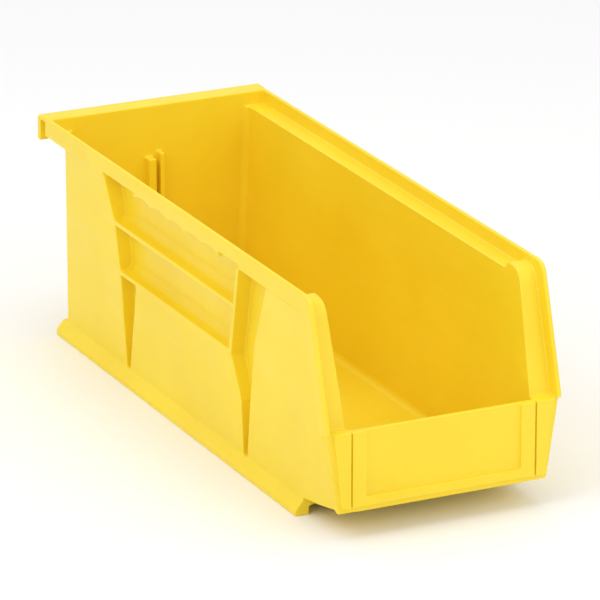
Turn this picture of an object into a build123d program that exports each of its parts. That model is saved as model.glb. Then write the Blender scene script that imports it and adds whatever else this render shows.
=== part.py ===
"""Hanging parts bin with a hopper front, injection-moulded in one shot of polypropylene.

The moulding is modelled as its functional regions, each one a closed solid in its own node, and
every region meets its neighbours face to face.  Origin: centre of the footprint, on the plane the
two stacking rails rest on.  +Z up, +Y towards the hanger, -Y towards the label face.
"""
import os
from math import cos, sqrt, tan, radians

from build123d import *

os.makedirs("parts", exist_ok=True)

# ---- overall sizes (mm) ------------------------------------------------------------------
length = 374.6            # label face to the back of the hanger leg
width = 138.0             # outside of the two rim lips
height = 129.2            # rail underside to the top of the rim

# ---- shell -------------------------------------------------------------------------------
wall_t = 2.4              # inner side walls, rear wall and front wall
floor_t = 2.6
floor_gap = 5.7           # floor underside above the resting plane
side_draft = 2.4          # degrees, inner walls lean outwards going up
corner_r = 6.4            # outside radius of the tub's corners
hanger_depth = 13.2       # rear wall outer face to the back of the hanger leg

# ---- rim ---------------------------------------------------------------------------------
lip_t = 2.6               # thickness of the raised lip
lip_h = 8.4               # lip above the stacking ledge
lip_front_h = 8.1         # lip proud of the hopper flange
ledge_t = 2.4             # stacking ledge and hopper flange plate
ledge_w = 9.8             # ledge, from the lip's inner face to the inner wall
lip_edge_r = 1.0          # rounding of the lip's top edges
rim_corner_r = 9.0       # rim to hopper corner, outer
flange_bend_r = 10.0      # stop to hopper flange, upper face
stop_h = 3.9              # stop at the ledge's front end, above the ledge
stop_run = 3.5            # slope of the stop's rear face
rim_overrun = 2.5         # lip and ledge past the rear wall's outer face

# ---- hopper front ------------------------------------------------------------------------
hopper_setback = 20.0     # top of the hopper slope, back from the label face
hopper_foot = 61.7        # height where the hopper slope reaches the label face
panel_top = 59.7          # front wall top edge
panel_foot = 14.7         # front wall bottom edge
panel_top_inset = 0.8     # front wall's side edges inside the rim lips' faces, at the top
panel_foot_inset = 7.5    # and at the foot
panel_corner_r = 1.5
ramp_len = 46.0           # floor's rising part behind the label face
ramp_rise = 8.6

# ---- label holder ------------------------------------------------------------------------
label_relief = 2.2        # frame proud of the front wall
label_margin = 23.8       # rim lip's face to the clear label area, each side
label_foot = 23.2         # lower edge of the clear label area
frame_w = 8.3             # side strips of the frame
frame_foot_h = 5.5        # bottom strip of the frame
groove_w = 0.9            # groove between the frame and the outer flange strips
strip_top_inset = 4.7     # flange strips' outer edges inside the rim lips' faces, at the top
strip_foot_inset = 9.6    # and at the front wall's foot

# ---- hanger ------------------------------------------------------------------------------
hanger_t = 2.4            # top web of the hanger
hanger_leg_t = 3.6
hanger_drop = 15.2        # top of the rim to the tip of the leg
hanger_r = 3.4            # outer rounding over the top

# ---- raised side panels, ribs and flutes -------------------------------------------------
skin_inset = 0.6          # panel face behind the lip's face, at the ledge
skin_draft = 3.66         # degrees
skin_t = 2.4
panel_seat = 8.9          # height of the panels' lower edge
rear_panel_inset = 27.0   # top rear corner of the rear panel, ahead of the rim's end
rear_panel_foot_inset = 9.0
rear_panel_len = 53.5     # rear panel at the ledge
rear_panel_foot_len = 83.0
flute_rear_knee = 94.7    # height of the bend in the rear panel's edge
rear_knee_shift = 3.5     # the same bend, behind the panel's straight lower edge
web_front = 107.5         # end web of the grip at the ledge, back from the label face
web_t = 3.2
web_lean = 16.6           # how far the web leans back on its way down to the lower rib
front_panel_back = 73.9   # front panel's rear edge at the ledge, back from the label face
front_panel_foot_back = 112.0
front_knee_back = 93.4    # upper bend of the front panel's rear edge
front_knee_z = 79.7
front_shin_back = 103.3   # lower bend of the same edge
front_shin_z = 44.7
chin_back = 48.0          # the front panel's lower edge starts to rise here
chin_mid = 24.0           # bend in the rising lower edge
chin_mid_rise = 3.8
chin_front_rise = 2.0     # its front end above the front wall's foot
low_panel_gap_front = 5.0     # flute between front and lower panels, at the foot
low_panel_gap_rear = 4.0      # flute between lower and rear panels, at the foot
low_panel_flare = 21.0        # widening of the rear flute up to the lower rib
low_panel_bow = 2.0           # bend of the lower panel's front edge
low_panel_bow_z = 40.7
upper_rib_z = 95.1
lower_rib_z = 66.3
rib_t = 2.6
cove_r = 6.0              # inner rounding between a rib and the wall behind it

# ---- finger scallops ---------------------------------------------------------------------
scallop_pitch = 22.05
scallop_depth = 2.1
scallop_root = 0.6        # web left above each scallop
scallop_front = 4.0       # plain strip between the last scallop and the end web
scallop_rear_gap = 42.0   # first tooth, ahead of the rear panel's edge

# ---- stacking rails ----------------------------------------------------------------------
rail_clear = 0.3          # rail to lip of the bin below, each side
rail_w = 8.4
rail_edge_h = 3.3         # vertical outer edge
rail_front = 43.0         # front end, back from the label face
rail_root_h = 4.7         # height of the rail's inner edge
rail_rear_gap = 2.9       # rail's rear end ahead of the rear wall's outer face
rail_root_in = 3.0        # where the rail's foot meets the floor, inside its rounded corner

# ---- divider ribs on the rear wall -------------------------------------------------------
divider_foot = 16.7
divider_rib_h = 5.5       # proud of the rear wall
divider_gap = 2.5         # slot between the two ribs
divider_offset = -2.85    # slot centre from the bin's centre line
divider_left_w = 4.7
divider_left_top = 98.7
divider_right_w = 2.85
divider_right_top = 101.7

# ---- derived places ----------------------------------------------------------------------
y_front = -length / 2
y_back = length / 2
y_rear_wall = y_back - hanger_depth
y_rear_in = y_rear_wall - wall_t
y_rim_end = y_rear_wall + rim_overrun
half_w = width / 2
x_lip_in = half_w - lip_t
z_ledge = height - lip_h
z_ledge_under = z_ledge - ledge_t
z_floor = floor_gap + floor_t
z_foot_under = panel_top - ledge_t          # underside of the hopper flange's foot
flange_back = lip_front_h + ledge_t         # hopper flange's rear face, behind the slope
label_half = half_w - label_margin
y_wall_front = y_front + label_relief + wall_t


def x_inner(z):
    """Half width of the inside at height z."""
    return x_lip_in - ledge_w - (z_ledge - z) * tan(radians(side_draft))


def x_wall(z):
    """Half width outside the inner wall at height z."""
    return x_inner(z) + wall_t


def x_skin(z):
    """Half width outside the raised side panels at height z."""
    return half_w - skin_inset - (z_ledge_under - z) * tan(radians(skin_draft))


def y_hopper(z, depth=0.0):
    """Hopper slope at height z, moved back into the bin by depth along its normal."""
    lean = hopper_setback / (height - hopper_foot)
    return y_front + (z - hopper_foot) * lean + depth * sqrt(1 + lean * lean)


def tub(inset_side, inset_end, inset_floor, radius):
    """Drafted tub solid: side, end and floor faces moved inwards by the insets."""
    z_low = floor_gap + inset_floor
    z_high = height
    y_ramp = y_front + ramp_len
    with BuildPart() as shell:
        with BuildSketch(Plane.YZ):
            Polygon(
                (y_front - 5.0, z_low + ramp_rise * (ramp_len + 5.0) / ramp_len),
                (y_ramp, z_low),
                (y_rear_wall - inset_end, z_low),
                (y_rear_wall - inset_end, z_high),
                (y_front - 5.0, z_high),
                align=None,
            )
        extrude(amount=half_w, both=True)
        with BuildSketch(Plane.XZ):
            Polygon(
                (-x_wall(0) + inset_side, 0),
                (x_wall(0) - inset_side, 0),
                (x_wall(z_high) - inset_side, z_high),
                (-x_wall(z_high) + inset_side, z_high),
                align=None,
            )
        extrude(amount=length, both=True, mode=Mode.INTERSECT)
        rear_face = shell.faces().sort_by(Axis.Y)[-1]
        fillet(rear_face.edges().filter_by(Axis.X, reverse=True), radius)
        low = [f for f in shell.faces() if f.normal_at().Z < -0.9]
        rim = [e for f in low for e in f.edges()]
        y_cut = y_front - 4.9
        soft = [e for e in rim if e.center().Y > y_cut and abs(e.center().X) > 1
                or e.center().Y > y_rear_wall - inset_end - 1]
        fillet(soft, radius)
    return shell.part


tub_outer = tub(0, 0, 0, corner_r)
tub_inner = tub(wall_t, wall_t, floor_t, corner_r - wall_t)

# planes that divide the tub into floor, corners and walls
x_corner = x_inner(z_floor) - corner_r
y_corner = y_rear_wall - corner_r - 0.5
z_corner = floor_gap + corner_r + 1.0


def save(piece, name):
    piece.part.label = name
    export_step(piece.part, f"parts/{name}.step")


def save_pair(left, stem):
    """Writes the left piece and its mirror image."""
    save(left, f"left_{stem}")
    with BuildPart() as right:
        mirror(left.part, about=Plane.YZ)
    save(right, f"right_{stem}")


def tub_region(xs, ys, zs):
    """The part of the tub wall inside a box given by its X, Y and Z limits."""
    with BuildPart() as region:
        add(tub_outer)
        add(tub_inner, mode=Mode.SUBTRACT)
        with Locations(((xs[0] + xs[1]) / 2, (ys[0] + ys[1]) / 2, (zs[0] + zs[1]) / 2)):
            Box(xs[1] - xs[0], ys[1] - ys[0], zs[1] - zs[0], mode=Mode.INTERSECT)
    return region.part


def rim_outline(depth, z_top, z_foot, bend_r):
    """Side-view face below z_top and behind the hopper slope, its upper front corner rounded."""
    with BuildSketch() as outline:
        Polygon(
            (y_front, 0),
            (y_back, 0),
            (y_back, z_top),
            (y_hopper(z_top, depth), z_top),
            (y_hopper(z_foot, depth), z_foot),
            (y_front, z_foot),
            align=None,
        )
        fillet(outline.vertices().sort_by_distance((y_hopper(z_top, depth), z_top))[0], bend_r)
    return outline.sketch


over_rim = rim_outline(lip_front_h, z_ledge + stop_h, panel_top, flange_bend_r)
under_rim = rim_outline(flange_back, z_ledge_under, z_foot_under, flange_bend_r - ledge_t)
y_stop = y_front + rail_front - rail_clear   # the stop faces the rails of a bin stacked on top


# ---- tub -----------------------------------------------------------------------------------
with BuildPart() as floor_panel:
    add(tub_region((-x_corner, x_corner), (y_front + ramp_len, y_corner), (0, z_corner)))
save(floor_panel, "floor_panel")

with BuildPart() as floor_ramp:
    add(tub_region((-x_corner, x_corner), (y_wall_front, y_front + ramp_len), (0, z_corner + ramp_rise)))
save(floor_ramp, "floor_ramp")

with BuildPart() as rear_wall:
    add(tub_region((-x_corner, x_corner), (y_corner, y_back), (z_corner, z_ledge_under)))
save(rear_wall, "rear_wall")

with BuildPart() as rear_bottom_corner:
    add(tub_region((-x_corner, x_corner), (y_corner, y_back), (0, z_corner)))
save(rear_bottom_corner, "rear_bottom_corner")

with BuildPart() as rear_corner:
    add(tub_region((-half_w, -x_corner), (y_corner, y_back), (0, z_ledge_under)))
save_pair(rear_corner, "rear_corner")

with BuildPart() as bottom_corner:
    add(tub_region((-half_w, -x_corner), (y_wall_front, y_corner), (0, z_corner)))
save_pair(bottom_corner, "bottom_corner")

with BuildPart() as side_wall:
    add(tub_region((-half_w, -x_corner), (y_wall_front, y_corner), (z_corner, z_ledge_under)))
    with BuildSketch(Plane.YZ):
        add(under_rim)
    extrude(amount=half_w, both=True, mode=Mode.INTERSECT)
save_pair(side_wall, "side_wall")

# ---- rim lips, ledges and hopper flanges ---------------------------------------------------
grip_front = y_front + web_front
grip_rear = y_rim_end - rear_panel_inset - rear_panel_len
with BuildPart() as rim_lip:
    with BuildSketch(Plane.YZ.offset(-half_w)) as lip_face:
        Polygon(
            (y_rim_end, height),
            (y_hopper(height), height),
            (y_front, hopper_foot),
            (y_front, panel_top),
            (y_wall_front, panel_top),
            (y_wall_front, z_foot_under),
            (y_hopper(z_foot_under, flange_back), z_foot_under),
            (y_hopper(z_ledge_under, flange_back), z_ledge_under),
            (grip_front, z_ledge_under),
            (grip_front, z_ledge),
            (grip_rear, z_ledge),
            (grip_rear, z_ledge_under),
            (y_rim_end, z_ledge_under),
            align=None,
        )
        crown = lip_face.vertices().sort_by_distance((y_hopper(height), height))[0]
        fillet(crown, rim_corner_r)
        crook = lip_face.vertices().sort_by_distance((y_hopper(z_ledge_under, flange_back), z_ledge_under))
        fillet(crook[0], flange_bend_r - ledge_t)
    extrude(amount=lip_t)
    crest = rim_lip.edges().filter_by(
        lambda e: e.center().Z > z_ledge + 1 and e.center().Y < y_rear_in - 1
        or e.center().Y < y_hopper(e.center().Z, 1.0)
    ).filter_by(lambda e: abs(e.center().X + half_w - lip_t / 2) > 0.1)
    fillet(crest, lip_edge_r)
save_pair(rim_lip, "rim_lip")

with BuildPart() as rim_plate:
    with BuildSketch(Plane.YZ.offset(-x_lip_in)):
        add(over_rim)
        Polygon(
            (y_stop, z_ledge),
            (y_back, z_ledge),
            (y_back, z_ledge + stop_h),
            (y_stop - stop_run, z_ledge + stop_h),
            align=None,
            mode=Mode.SUBTRACT,
        )
        add(under_rim, mode=Mode.SUBTRACT)
        with Locations(((y_wall_front + y_rear_in) / 2, height / 2)):
            Rectangle(y_rear_in - y_wall_front, height, mode=Mode.INTERSECT)
    extrude(amount=x_lip_in - x_corner)
    add(tub_inner, mode=Mode.SUBTRACT)

with BuildPart() as stacking_ledge:
    add(rim_plate.part)
    split(bisect_by=Plane.XZ.offset(-y_stop), keep=Keep.BOTTOM)
save_pair(stacking_ledge, "stacking_ledge")

with BuildPart() as hopper_flange:
    add(rim_plate.part)
    split(bisect_by=Plane.XZ.offset(-y_stop), keep=Keep.TOP)
save_pair(hopper_flange, "hopper_flange")

# ---- finger scallops under the lip ---------------------------------------------------------
first_tooth = grip_rear - scallop_rear_gap
scallop_run = first_tooth - (grip_front + web_t + scallop_front)
scallop_count = int(scallop_run / scallop_pitch)
z_tooth = z_ledge - scallop_root - scallop_depth
with BuildPart() as finger_grip:
    with BuildSketch(Plane.YZ.offset(-half_w)):
        with BuildLine():
            last = first_tooth
            Line((first_tooth, z_ledge), (first_tooth, z_tooth))
            for i in range(scallop_count):
                tip = first_tooth - i * scallop_pitch
                last = tip - scallop_pitch
                ThreePointArc((tip, z_tooth), ((tip + last) / 2, z_tooth + scallop_depth), (last, z_tooth))
            Line((last, z_tooth), (last, z_ledge))
            Line((last, z_ledge), (first_tooth, z_ledge))
        make_face()
    extrude(amount=lip_t)
save_pair(finger_grip, "finger_grip")


# ---- raised side panels --------------------------------------------------------------------
def skin_profile(inset):
    """End-view face between the bin's middle and the panel face, moved inwards by inset."""
    with BuildSketch() as outline:
        Polygon(
            (-x_skin(0) + inset, 0),
            (-x_skin(z_ledge_under) + inset, z_ledge_under),
            (-x_corner, z_ledge_under),
            (-x_corner, 0),
            align=None,
        )
    return outline.sketch


def raised_panel(points):
    """Hollow-backed raised panel on the left side, outlined by side-view points."""
    with BuildPart() as hollow:
        with BuildSketch(Plane.YZ.offset(-half_w)):
            Polygon(*points, align=None)
            offset(amount=-skin_t)
        extrude(amount=half_w)
        with BuildSketch(Plane.XZ):
            add(skin_profile(skin_t))
        extrude(amount=length, both=True, mode=Mode.INTERSECT)
    with BuildPart() as panel:
        with BuildSketch(Plane.YZ.offset(-half_w)):
            Polygon(*points, align=None)
        extrude(amount=half_w)
        with BuildSketch(Plane.XZ):
            add(skin_profile(0))
        extrude(amount=length, both=True, mode=Mode.INTERSECT)
        add(hollow.part, mode=Mode.SUBTRACT)
        add(tub_outer, mode=Mode.SUBTRACT)
    return panel.part


y_rear_panel_back = y_rim_end - rear_panel_inset
y_rear_panel_foot_back = y_rear_wall - rear_panel_foot_inset
y_flute_rear = y_rear_panel_foot_back - rear_panel_foot_len
rear_panel_points = [
    (y_rear_panel_back, z_ledge_under),
    (y_rear_panel_back - rear_panel_len, z_ledge_under),
    (y_flute_rear + rear_knee_shift, flute_rear_knee),
    (y_flute_rear, lower_rib_z),
    (y_flute_rear, panel_seat),
    (y_rear_panel_foot_back, panel_seat),
]
with BuildPart() as rear_side_panel:
    add(raised_panel(rear_panel_points))
save_pair(rear_side_panel, "rear_side_panel")

front_panel_points = [
    (y_hopper(z_ledge_under, flange_back), z_ledge_under),
    (y_front + front_panel_back, z_ledge_under),
    (y_front + front_knee_back, front_knee_z),
    (y_front + front_shin_back, front_shin_z),
    (y_front + front_panel_foot_back, panel_seat),
    (y_front + chin_back, panel_seat),
    (y_front + chin_mid, panel_seat + chin_mid_rise),
    (y_wall_front, panel_foot + chin_front_rise),
    (y_wall_front, z_foot_under),
    (y_hopper(z_foot_under, flange_back), z_foot_under),
]
with BuildPart() as front_side_panel:
    add(raised_panel(front_panel_points))
    with BuildSketch(Plane.YZ):
        add(under_rim)
    extrude(amount=half_w, both=True, mode=Mode.INTERSECT)
save_pair(front_side_panel, "front_side_panel")

y_low_front = y_front + front_panel_foot_back + low_panel_gap_front
y_web_foot = y_front + web_front + web_lean
low_panel_points = [
    (y_web_foot, lower_rib_z - rib_t),
    (y_low_front - low_panel_bow, low_panel_bow_z),
    (y_low_front, panel_seat),
    (y_flute_rear - low_panel_gap_rear, panel_seat),
    (y_flute_rear - low_panel_flare, lower_rib_z - rib_t),
]
with BuildPart() as lower_side_panel:
    add(raised_panel(low_panel_points))
save_pair(lower_side_panel, "lower_side_panel")


def y_web(z):
    """Rear face of the end web at height z."""
    return y_front + web_front + web_t + web_lean * (z_ledge_under - z) / (z_ledge_under - lower_rib_z)


def y_rear_flank(z):
    """Front flank of the rear panel at height z."""
    if z < lower_rib_z:
        return y_flute_rear
    y_knee = y_flute_rear + rear_knee_shift
    if z < flute_rear_knee:
        return y_flute_rear + (y_knee - y_flute_rear) * (z - lower_rib_z) / (flute_rear_knee - lower_rib_z)
    y_top = y_rear_panel_back - rear_panel_len
    return y_knee + (y_top - y_knee) * (z - flute_rear_knee) / (z_ledge_under - flute_rear_knee)


def rib(z_top):
    """Horizontal rib with a coved root, from the end web to the rear panel."""
    x_root = -x_wall(z_top)
    z_foot = z_top - rib_t
    z_crest = z_top + cove_r
    bend = cove_r * (1 - cos(radians(45)))
    with BuildPart() as shelf:
        with BuildSketch(Plane.XZ):
            with BuildLine():
                Line((x_root + 1.0, z_foot), (-x_skin(z_foot), z_foot))
                Line((-x_skin(z_foot), z_foot), (-x_skin(z_top), z_top))
                Line((-x_skin(z_top), z_top), (x_root - cove_r, z_top))
                ThreePointArc(
                    (x_root - cove_r, z_top), (x_root - bend, z_top + bend), (x_root, z_crest),
                )
                Line((x_root, z_crest), (x_root + 1.0, z_crest))
                Line((x_root + 1.0, z_crest), (x_root + 1.0, z_foot))
            make_face()
        extrude(amount=length, both=True)
        with BuildSketch(Plane.YZ):
            Polygon(
                (y_web(z_foot), z_foot),
                (y_rear_flank(z_foot) + skin_t / 2, z_foot),
                (y_rear_flank(z_crest) + skin_t / 2, z_crest),
                (y_web(z_crest), z_crest),
                align=None,
            )
        extrude(amount=half_w, both=True, mode=Mode.INTERSECT)
        add(tub_outer, mode=Mode.SUBTRACT)
        add(rear_side_panel.part, mode=Mode.SUBTRACT)
    return shelf.part


with BuildPart() as upper_rib:
    add(rib(upper_rib_z))
save_pair(upper_rib, "upper_rib")

with BuildPart() as lower_rib:
    add(rib(lower_rib_z))
save_pair(lower_rib, "lower_rib")

with BuildPart() as grip_end_web:
    with BuildSketch(Plane.YZ.offset(-half_w)):
        Polygon(
            (y_web(z_ledge_under) - web_t, z_ledge_under),
            (y_web(lower_rib_z - rib_t) - web_t, lower_rib_z - rib_t),
            (y_web(lower_rib_z - rib_t), lower_rib_z - rib_t),
            (y_web(z_ledge_under), z_ledge_under),
            align=None,
        )
    extrude(amount=half_w)
    with BuildSketch(Plane.XZ):
        add(skin_profile(0))
    extrude(amount=length, both=True, mode=Mode.INTERSECT)
    add(tub_outer, mode=Mode.SUBTRACT)
save_pair(grip_end_web, "grip_end_web")

# ---- stacking rails ------------------------------------------------------------------------
x_rail = x_lip_in - rail_clear
with BuildPart() as stacking_rail:
    with BuildSketch(Plane.XZ):
        Polygon(
            (-x_rail, 0),
            (-x_rail, rail_edge_h),
            (-x_skin(panel_seat), panel_seat),
            (-x_corner - rail_root_in, panel_seat),
            (-x_corner - rail_root_in, floor_gap + 1.0),
            (-x_rail + rail_w, rail_root_h),
            (-x_rail + rail_w, 0),
            align=None,
        )
    extrude(amount=length, both=True)
    with BuildSketch(Plane.YZ):
        Polygon(
            (y_front + rail_front, 0),
            (y_rear_wall - rail_rear_gap, 0),
            (y_rear_wall - rail_rear_gap, height),
            (y_front + rail_front, height),
            align=None,
        )
    extrude(amount=half_w, both=True, mode=Mode.INTERSECT)
    add(tub_outer, mode=Mode.SUBTRACT)
save_pair(stacking_rail, "stacking_rail")

# ---- front wall and label holder -----------------------------------------------------------
frame_foot = label_foot - frame_foot_h
x_flange = label_half + frame_w + groove_w
strip_slope = (strip_foot_inset - strip_top_inset) / (panel_top - panel_foot)
x_strip_foot = half_w - strip_foot_inset + strip_slope * (frame_foot - panel_foot)
with BuildPart() as front_wall:
    with BuildSketch(Plane.XZ.offset(-(y_front + label_relief))) as panel_face:
        Polygon(
            (-half_w + panel_foot_inset, panel_foot),
            (half_w - panel_foot_inset, panel_foot),
            (half_w - panel_top_inset, panel_top),
            (-half_w + panel_top_inset, panel_top),
            align=None,
        )
        fillet(panel_face.vertices().group_by(Axis.Y)[0], panel_corner_r)
        with Locations((0, (label_foot + panel_top) / 2)):
            Rectangle(2 * label_half, panel_top - label_foot, mode=Mode.SUBTRACT)
    extrude(amount=-wall_t)
save(front_wall, "front_wall")

with BuildPart() as label_panel:
    with BuildSketch(Plane.XZ.offset(-(y_front + label_relief))):
        with Locations((0, (label_foot + panel_top) / 2)):
            Rectangle(2 * label_half, panel_top - label_foot)
    extrude(amount=-wall_t)
save(label_panel, "label_panel")


def front_strip(points):
    """Raised strip on the front wall, outlined by front-view points."""
    with BuildPart() as strip:
        with BuildSketch(Plane.XZ.offset(-(y_front + label_relief))):
            Polygon(*points, align=None)
        extrude(amount=label_relief)
    return strip.part


with BuildPart() as label_frame_side:
    add(front_strip([
        (-label_half - frame_w, frame_foot),
        (-label_half, frame_foot),
        (-label_half, panel_top),
        (-label_half - frame_w, panel_top),
    ]))
save_pair(label_frame_side, "label_frame_side")

with BuildPart() as label_frame_bottom:
    add(front_strip([
        (-label_half, frame_foot),
        (label_half, frame_foot),
        (label_half, label_foot),
        (-label_half, label_foot),
    ]))
save(label_frame_bottom, "label_frame_bottom")

with BuildPart() as front_flange_strip:
    add(front_strip([
        (-x_flange, frame_foot),
        (-x_flange, panel_top),
        (-half_w + strip_top_inset, panel_top),
        (-x_strip_foot, frame_foot),
    ]))
save_pair(front_flange_strip, "front_flange_strip")

# ---- rear header and hanger ----------------------------------------------------------------
with BuildPart() as rear_header:
    with BuildSketch(Plane.XZ.offset(-y_rear_wall)):
        with Locations((0, (z_ledge_under + height) / 2)):
            Rectangle(2 * x_lip_in, height - z_ledge_under)
    extrude(amount=wall_t)
save(rear_header, "rear_header")

z_leg_root = height - hanger_t - hanger_r / 2
with BuildPart() as hanger_top:
    with BuildSketch(Plane.YZ) as hook_section:
        Polygon(
            (y_rear_wall, height),
            (y_back, height),
            (y_back, z_leg_root),
            (y_back - hanger_leg_t, z_leg_root),
            (y_back - hanger_leg_t, height - hanger_t),
            (y_rear_wall, height - hanger_t),
            align=None,
        )
        fillet(hook_section.vertices().sort_by_distance((y_back, height))[0], hanger_r)
    extrude(amount=half_w, both=True)
    with BuildSketch(Plane.XY.offset(height)):
        for side in (-1, 1):
            with Locations((side * (half_w - lip_t / 2), (y_rear_wall + y_rim_end) / 2)):
                Rectangle(lip_t, rim_overrun)
    extrude(amount=-hanger_t, mode=Mode.SUBTRACT)
save(hanger_top, "hanger_top")

with BuildPart() as hanger_leg:
    with BuildSketch(Plane.XZ.offset(-y_back)):
        with Locations((0, (z_leg_root + height - hanger_drop) / 2)):
            Rectangle(width, z_leg_root - (height - hanger_drop))
    extrude(amount=hanger_leg_t)
save(hanger_leg, "hanger_leg")

# ---- divider ribs --------------------------------------------------------------------------
divider_walls = (
    (divider_offset - (divider_gap + divider_left_w) / 2, divider_left_w, divider_left_top),
    (divider_offset + (divider_gap + divider_right_w) / 2, divider_right_w, divider_right_top),
)
with BuildPart() as divider_ribs:
    with BuildSketch(Plane.XZ.offset(-y_rear_in)):
        for x_rib, rib_w, rib_top in divider_walls:
            with Locations((x_rib, (rib_top + divider_foot) / 2)):
                Rectangle(rib_w, rib_top - divider_foot)
    extrude(amount=divider_rib_h)
save(divider_ribs, "divider_ribs")
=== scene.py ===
"""Looks of the hanging parts bin: one seamless moulding in yellow polypropylene, on a pale floor.

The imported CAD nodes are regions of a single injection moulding.  They are fused here into one
seamless skin with softened edges, which stands for all of them.
"""

from math import cos, radians, sin

import bmesh
import bpy
import numpy as np
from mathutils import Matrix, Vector

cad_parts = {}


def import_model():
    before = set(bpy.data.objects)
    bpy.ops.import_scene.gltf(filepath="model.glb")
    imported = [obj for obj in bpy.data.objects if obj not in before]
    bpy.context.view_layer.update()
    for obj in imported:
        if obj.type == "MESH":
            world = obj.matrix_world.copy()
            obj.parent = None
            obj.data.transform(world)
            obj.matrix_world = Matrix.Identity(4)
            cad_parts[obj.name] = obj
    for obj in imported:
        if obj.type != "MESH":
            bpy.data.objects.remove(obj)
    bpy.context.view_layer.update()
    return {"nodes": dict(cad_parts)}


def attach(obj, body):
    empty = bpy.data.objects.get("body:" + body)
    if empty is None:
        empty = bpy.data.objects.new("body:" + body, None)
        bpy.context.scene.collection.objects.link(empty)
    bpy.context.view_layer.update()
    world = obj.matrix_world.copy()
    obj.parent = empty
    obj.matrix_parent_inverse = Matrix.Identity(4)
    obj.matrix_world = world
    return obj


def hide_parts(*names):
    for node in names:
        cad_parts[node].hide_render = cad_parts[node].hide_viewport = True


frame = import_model()

# ---- choices (metres, degrees) -------------------------------------------------------------
GROW = 1e-5              # regions are grown by this much so that touching faces fuse
VOXEL = 0.00045          # grid of the fused skin, which also sets how soft the edges are
SMOOTH_STEPS = 2
SMOOTH_FACTOR = 0.5
SKIN_FACES = 190_000     # triangles left in the finished skin
FLAT_ANGLE = 0.2         # faces closer than this are one flat face

VIEW_AZIMUTH = -25.73
VIEW_ELEVATION = 19.41
VIEW_DISTANCE = 3.020
LENS = 329.7
AIM = Vector((0.0, -0.0003, 0.0637))
SHIFT = (0.0175, 0.0043)
FLOOR_SIZE = 14.0


# ---- the fused skin ------------------------------------------------------------------------
def grown(node):
    """A copy of a CAD node with every face moved outwards by GROW, so that it overlaps its neighbours."""
    mesh = node.data.copy()
    mesh.materials.clear()
    bm = bmesh.new()
    bm.from_mesh(mesh)
    bmesh.ops.remove_doubles(bm, verts=bm.verts, dist=GROW / 10)
    bmesh.ops.recalc_face_normals(bm, faces=bm.faces)
    bmesh.ops.dissolve_limit(bm, angle_limit=radians(FLAT_ANGLE), verts=bm.verts, edges=bm.edges)
    bm.normal_update()
    moves = []
    for vert in bm.verts:
        normals = np.array([face.normal for face in vert.link_faces])
        moves.append(np.linalg.lstsq(normals, np.full(len(normals), GROW), rcond=0.05)[0])
    for vert, move in zip(bm.verts, moves):
        vert.co += Vector(move)
    bmesh.ops.triangulate(bm, faces=bm.faces)
    bm.to_mesh(mesh)
    bm.free()
    copy = bpy.data.objects.new(node.name + "_grown", mesh)
    bpy.context.collection.objects.link(copy)
    return copy


def evaluated(obj):
    """A new mesh with the object's modifiers applied."""
    return bpy.data.meshes.new_from_object(obj.evaluated_get(bpy.context.evaluated_depsgraph_get()))


def fused(nodes):
    """One closed mesh from all the nodes, by boolean union."""
    copies = [grown(node) for node in nodes]
    rest = bpy.data.collections.new("to_fuse")
    bpy.context.scene.collection.children.link(rest)
    for copy in copies[1:]:
        rest.objects.link(copy)
    union = copies[0].modifiers.new("union", "BOOLEAN")
    union.operation = "UNION"
    union.operand_type = "COLLECTION"
    union.collection = rest
    union.solver = "MANIFOLD"
    mesh = evaluated(copies[0])
    for copy in copies:
        bpy.data.objects.remove(copy)
    bpy.data.collections.remove(rest)
    return mesh


def softened(obj):
    """Rounds every edge of the fused skin: a fine remesh, a little smoothing, then fewer faces."""
    remesh = obj.modifiers.new("remesh", "REMESH")
    remesh.mode = "VOXEL"
    remesh.voxel_size = VOXEL
    smooth = obj.modifiers.new("smooth", "SMOOTH")
    smooth.factor = SMOOTH_FACTOR
    smooth.iterations = SMOOTH_STEPS
    obj.data = evaluated(obj)
    obj.modifiers.clear()
    thin = obj.modifiers.new("thin", "DECIMATE")
    thin.ratio = SKIN_FACES / (2 * len(obj.data.polygons))
    obj.data = evaluated(obj)
    obj.modifiers.clear()
    obj.data.shade_smooth()


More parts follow.
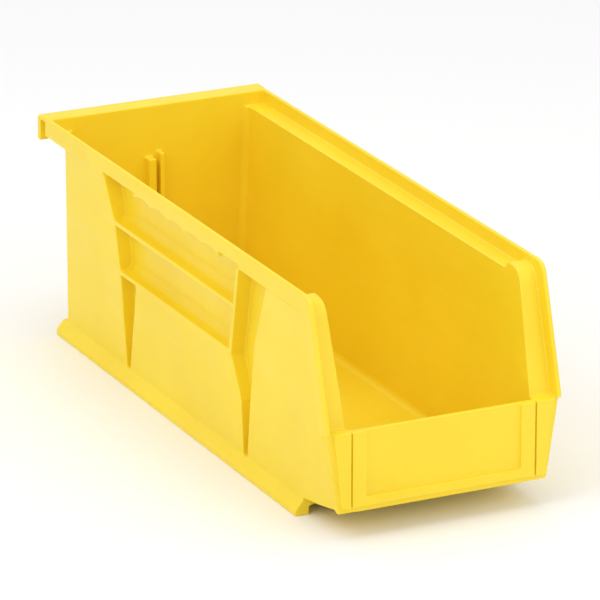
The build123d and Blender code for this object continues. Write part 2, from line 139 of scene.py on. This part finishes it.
# ---- material ------------------------------------------------------------------------------
def polypropylene():
    """Yellow polypropylene with a fine moulded grain, faint flow marks, and a painted pale highlight with
    scuffs on the edges.
    """
    material = bpy.data.materials.new("yellow_polypropylene")
    material.use_nodes = True
    nodes, links = material.node_tree.nodes, material.node_tree.links
    shader = nodes["Principled BSDF"]
    shader.inputs["IOR"].default_value = 1.49
    shader.inputs["Subsurface Weight"].default_value = 0.12
    shader.inputs["Subsurface Radius"].default_value = (1.0, 0.55, 0.1)
    shader.inputs["Subsurface Scale"].default_value = 0.003

    def node(kind, **settings):
        made = nodes.new(kind)
        for name, value in settings.items():
            if name in made.inputs:
                made.inputs[name].default_value = value
            else:
                setattr(made, name.lower().replace(" ", "_"), value)
        return made

    place = nodes.new("ShaderNodeTexCoord")

    def noise(scale, detail=3.0, rough=0.55, stretch=None):
        made = node("ShaderNodeTexNoise", Scale=scale, Detail=detail, Roughness=rough)
        source = place.outputs["Object"]
        if stretch:
            mapping = node("ShaderNodeMapping", Scale=stretch)
            links.new(source, mapping.inputs["Vector"])
            source = mapping.outputs["Vector"]
        links.new(source, made.inputs["Vector"])
        return made.outputs["Fac"]

    def ramp(source, low, high, low_at=0.0, high_at=1.0):
        made = nodes.new("ShaderNodeMapRange")
        made.inputs["From Min"].default_value = low_at
        made.inputs["From Max"].default_value = high_at
        made.inputs["To Min"].default_value = low
        made.inputs["To Max"].default_value = high
        links.new(source, made.inputs["Value"])
        return made.outputs["Result"]

    def blend(factor, first, second):
        made = nodes.new("ShaderNodeMix")
        made.data_type = "RGBA"
        links.new(factor, made.inputs["Factor"])
        for socket, value in ((made.inputs[6], first), (made.inputs[7], second)):
            if isinstance(value, tuple):
                socket.default_value = (*value, 1.0)
            else:
                links.new(value, socket)
        return made.outputs[2]

    # colour: pigment clouds, flow streaks along the bin, then a painted pale highlight on the convex
    # edges, broken into patches like scuffs
    clouds = ramp(noise(14.0, 4.0), 0.0, 1.0, 0.35, 0.65)
    colour = blend(clouds, (0.905, 0.665, 0.016), (0.945, 0.715, 0.024))
    streaks = ramp(noise(9.0, 5.0, 0.6, (1.0, 0.16, 2.2)), 0.0, 0.35, 0.45, 0.75)
    colour = blend(streaks, colour, (0.955, 0.740, 0.045))
    geometry = nodes.new("ShaderNodeNewGeometry")
    # convex edges are painted paler in patches: a painted edge highlight that also stands for scuffs
    edges = ramp(geometry.outputs["Pointiness"], 0.0, 1.0, 0.53, 0.60)
    patches = ramp(noise(60.0, 5.0, 0.65), 0.0, 1.0, 0.48, 0.66)
    edge_highlight_and_scuffs = node("ShaderNodeMath", operation="MULTIPLY")
    links.new(edges, edge_highlight_and_scuffs.inputs[0])
    links.new(patches, edge_highlight_and_scuffs.inputs[1])
    colour = blend(edge_highlight_and_scuffs.outputs[0], colour, (0.970, 0.840, 0.260))
    links.new(colour, shader.inputs["Base Color"])

    # gloss: satin, with rubbed patches and fine scratches along the sliding faces
    rub = noise(22.0, 5.0, 0.6)
    scratches = noise(220.0, 2.0, 0.7, (1.0, 0.05, 1.0))
    gloss = node("ShaderNodeMath", operation="MULTIPLY")
    links.new(rub, gloss.inputs[0])
    links.new(scratches, gloss.inputs[1])
    links.new(ramp(gloss.outputs[0], 0.34, 0.52, 0.12, 0.42), shader.inputs["Roughness"])

    # bump: fine spark-eroded grain over faint sink marks
    grain = node("ShaderNodeBump", Strength=0.22, Distance=0.00006)
    links.new(noise(2600.0, 2.0, 0.5), grain.inputs["Height"])
    sinks = node("ShaderNodeBump", Strength=0.25, Distance=0.0004)
    links.new(noise(55.0, 2.0, 0.5), sinks.inputs["Height"])
    links.new(grain.outputs["Normal"], sinks.inputs["Normal"])
    links.new(sinks.outputs["Normal"], shader.inputs["Normal"])
    return material


# ---- stage, light and camera ---------------------------------------------------------------
def plain(name, colour, roughness):
    """A material with one even colour."""
    material = bpy.data.materials.new(name)
    material.use_nodes = True
    shader = material.node_tree.nodes["Principled BSDF"]
    shader.inputs["Base Color"].default_value = (*colour, 1.0)
    shader.inputs["Roughness"].default_value = roughness
    return material


def floor():
    """Pale studio floor, on the plane the rails rest on."""
    bpy.ops.mesh.primitive_plane_add(size=FLOOR_SIZE, location=(0, 0, 0))
    plane = bpy.context.object
    plane.name = "studio_floor"
    plane.data.materials.append(plain("pale_floor", (0.93, 0.93, 0.93), 0.8))


def lamp(name, azimuth, elevation, distance, size, watts, colour=(1.0, 1.0, 1.0)):
    """Square soft box aimed at the bin; azimuth 0 is in front of the label face."""
    data = bpy.data.lights.new(name, "AREA")
    data.size = size
    data.energy = watts
    data.color = colour
    light = bpy.data.objects.new(name, data)
    bpy.context.collection.objects.link(light)
    a, e = radians(azimuth), radians(elevation)
    back = Vector((sin(a) * cos(e), -cos(a) * cos(e), sin(e)))
    light.location = AIM + back * distance
    light.rotation_mode = "QUATERNION"
    light.rotation_quaternion = back.to_track_quat("Z", "Y")


def world(strength):
    """Even white light from all around."""
    sky = bpy.data.worlds.new("soft_white")
    sky.use_nodes = True
    sky.node_tree.nodes["Background"].inputs["Color"].default_value = (1.0, 1.0, 1.0, 1.0)
    sky.node_tree.nodes["Background"].inputs["Strength"].default_value = strength
    bpy.context.scene.world = sky


def camera():
    """A long lens aimed at the bin from its front left."""
    data = bpy.data.cameras.new("photo_view")
    data.sensor_width = 36.0
    data.lens = LENS
    data.shift_x, data.shift_y = SHIFT
    data.clip_start, data.clip_end = 0.1, 50.0
    view = bpy.data.objects.new("photo_view", data)
    bpy.context.collection.objects.link(view)
    a, e = radians(VIEW_AZIMUTH), radians(VIEW_ELEVATION)
    back = Vector((sin(a) * cos(e), -cos(a) * cos(e), sin(e)))
    view.location = AIM + back * VIEW_DISTANCE
    view.rotation_mode = "QUATERNION"
    view.rotation_quaternion = back.to_track_quat("Z", "Y")
    bpy.context.scene.camera = view


# ---- build ---------------------------------------------------------------------------------
node_names = sorted(frame["nodes"])
moulding = bpy.data.objects.new("bin_moulding", fused([frame["nodes"][name] for name in node_names]))
bpy.context.collection.objects.link(moulding)
softened(moulding)
moulding.data.materials.clear()
moulding.data.materials.append(polypropylene())
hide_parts(*node_names)
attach(moulding, "root")

floor()
world(0.82)
lamp("key", -75, 48, 1.6, 0.8, 4.5)
lamp("front_fill", 15, 30, 1.9, 1.0, 4)
lamp("top", 0, 88, 1.7, 1.2, 6.5)
camera()
bpy.context.scene.view_settings.view_transform = "Standard"
